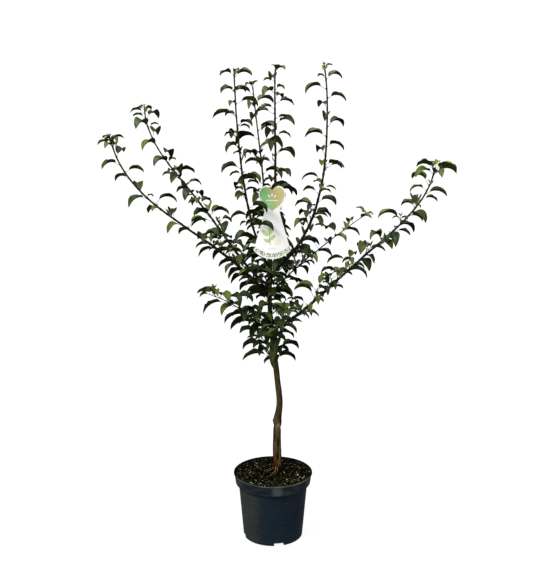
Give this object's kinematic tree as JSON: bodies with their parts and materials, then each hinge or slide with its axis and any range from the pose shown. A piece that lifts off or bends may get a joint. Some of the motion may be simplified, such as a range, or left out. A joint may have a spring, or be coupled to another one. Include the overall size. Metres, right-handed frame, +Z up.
{
  "type": "potted pear tree",
  "caption": "Young pear tree with an open vase of leafy boughs on a short trunk, in a round plastic nursery pot, with a hanging heart label.",
  "frame": {"origin": "centre of the pot's flat underside, on the surface that the pot stands on", "axes": "+Z up the tree, -Y the front as the picture shows it, +X to the right in that view"},
  "size_m": [1.0708, 0.69, 1.5745],
  "materials": {
    "pot": "moulded charcoal plastic, softly glossy, with dust and pale scuffs",
    "soil": "dark moist bark and peat compost with pale crumbs",
    "bark": "brown-grey young bark, redder at the foot and olive above the graft",
    "bough_bark": "smooth dark olive-brown bark with pale pores",
    "leaves": "glossy dark green above, paler below, yellow-green at the tips",
    "label": "white printed plastic card with a green and tan heart"
  },
  "bodies": {
    "root": {"bough_back_up": "bough_bark", "bough_left_back": "bough_bark", "bough_left_low": "bough_bark", "bough_left_up": "bough_bark", "bough_right_low": "bough_bark", "bough_right_up": "bough_bark", "label": "label", "leaves_back": "leaves", "leaves_back_up": "leaves", "leaves_front": "leaves", "leaves_leader": "leaves", "leaves_left_back_end": "leaves", "leaves_left_back_foot": "leaves", "leaves_left_foot": "leaves", "leaves_left_low_end": "leaves", "leaves_left_low_foot": "leaves", "leaves_left_short": "leaves", "leaves_left_up": "leaves", "leaves_right_back": "leaves", "leaves_right_low_end": "leaves", "leaves_right_low_foot": "leaves", "leaves_right_up_end": "leaves", "leaves_right_up_foot": "leaves", "leaves_spur_1": "leaves", "leaves_spur_2": "leaves", "leaves_spur_3": "leaves", "leaves_spur_4": "leaves", "leaves_spur_5": "leaves", "leaves_spur_6": "leaves", "leaves_spur_7": "leaves", "leaves_spur_8": "leaves", "pot": "pot", "soil": "soil", "trunk": "bark"}
  },
  "joints": []
}
